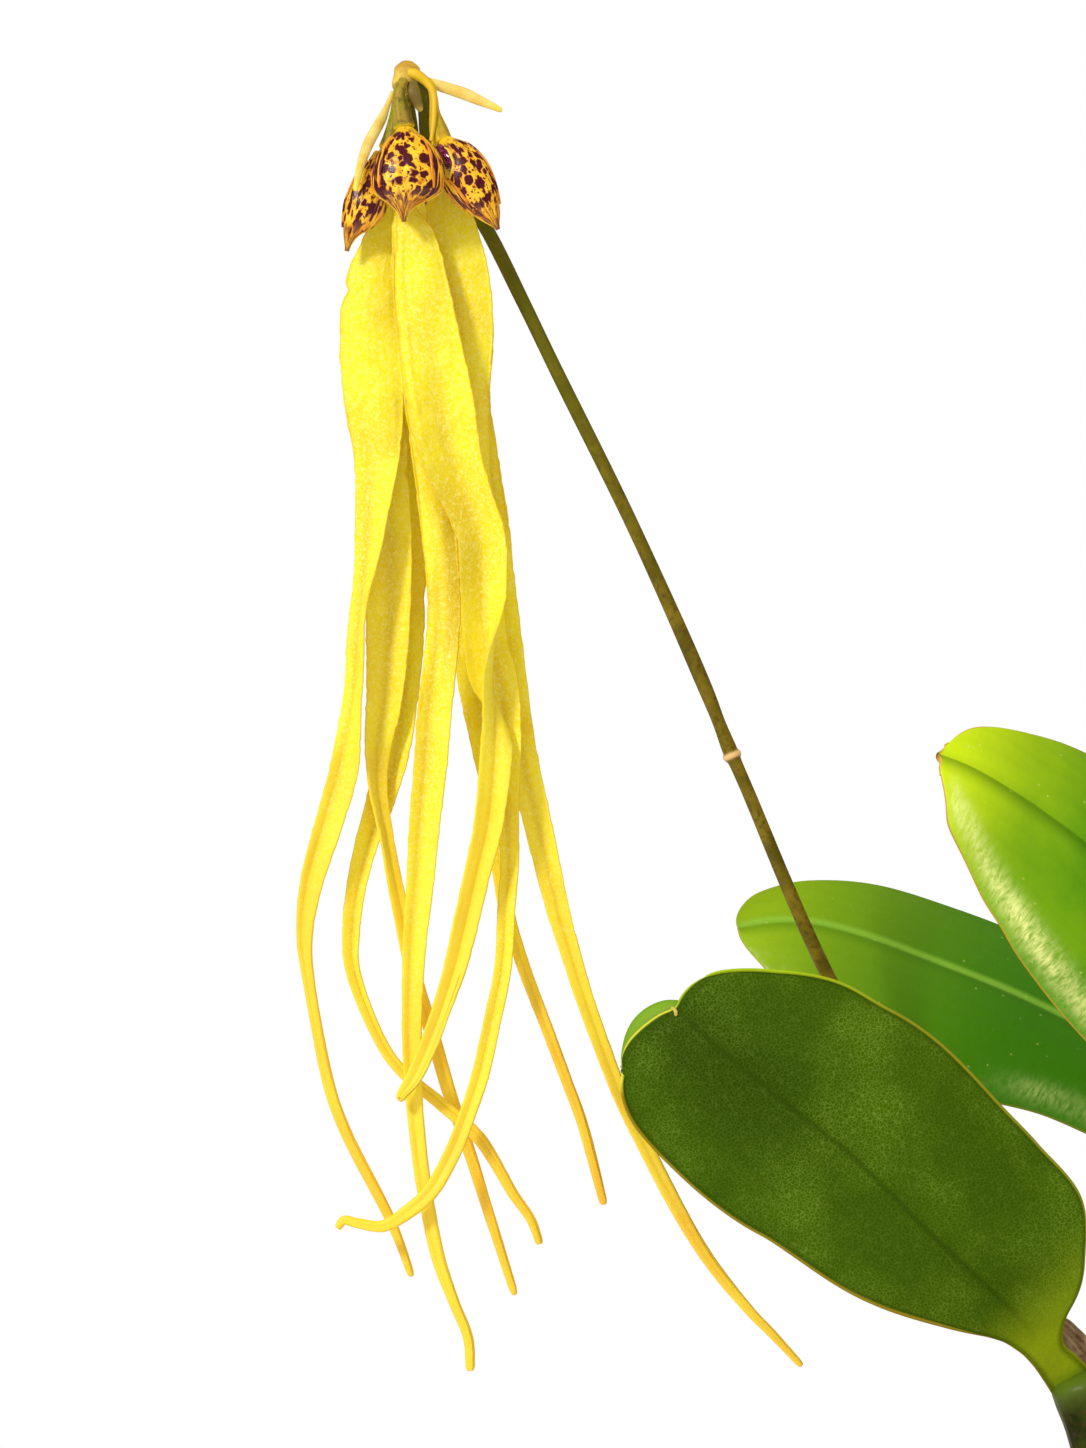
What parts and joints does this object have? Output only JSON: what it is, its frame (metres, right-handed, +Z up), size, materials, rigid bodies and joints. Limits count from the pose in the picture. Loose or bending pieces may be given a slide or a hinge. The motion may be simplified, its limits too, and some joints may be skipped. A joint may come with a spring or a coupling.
{
  "type": "potted bulbophyllum orchid",
  "caption": "Orchid in a plain clay pot: leathery leaves on pseudobulbs and a wiry scape with an umbel of spotted hooded flowers trailing long yellow sepals.",
  "frame": {"origin": "centre of the pot's underside, on the surface it stands on", "axes": "+Z up; the plant is seen from -Y, with its flowers hanging on the -X side"},
  "size_m": [0.2044, 0.11, 0.3348],
  "materials": {
    "clay": "unglazed terracotta, matte",
    "bark": "coarse dry bark chips, rough",
    "rhizome": "fibrous creeping rhizome and wiry roots, rough",
    "bulb": "waxy ribbed living tissue, satin",
    "old_bulb": "shrivelled dry tissue, rough",
    "leaf_underside": "thick leathery leaf underside, finely wrinkled, satin",
    "leaf": "thick leathery leaf, waxy and glossy",
    "knob": "dry tan tissue, satin",
    "scape": "wiry green stalk, mottled olive brown, satin, with a pale ring at its node",
    "bract": "papery straw coloured bract, satin",
    "ovary": "ribbed olive green tissue, satin",
    "hood": "fleshy orange yellow petal tissue with maroon blotches, satin",
    "lip": "fleshy deep purple tissue, glossy",
    "sepal": "fleshy bright yellow petal tissue, satin"
  },
  "bodies": {
    "root": {"pot": "clay", "bark_medium": "bark", "rhizome": "rhizome", "pseudobulb_1": "bulb", "pseudobulb_2": "bulb", "pseudobulb_3": "bulb", "old_pseudobulb": "old_bulb", "leaf_1": "leaf_underside", "leaf_2": "leaf", "leaf_3": "leaf", "umbel_head": "knob", "scape": "scape", "bract_right": "bract", "bract_left": "bract", "bract_front": "bract", "bract_rear": "bract", "ovary_1": "ovary", "hood_1": "hood", "lip_1": "lip", "sepals_1": "sepal", "ovary_2": "ovary", "hood_2": "hood", "lip_2": "lip", "sepals_2": "sepal", "ovary_3": "ovary", "hood_3": "hood", "lip_3": "lip", "sepals_3": "sepal", "ovary_4": "ovary", "hood_4": "hood", "lip_4": "lip", "sepals_4": "sepal"}
  },
  "joints": []
}
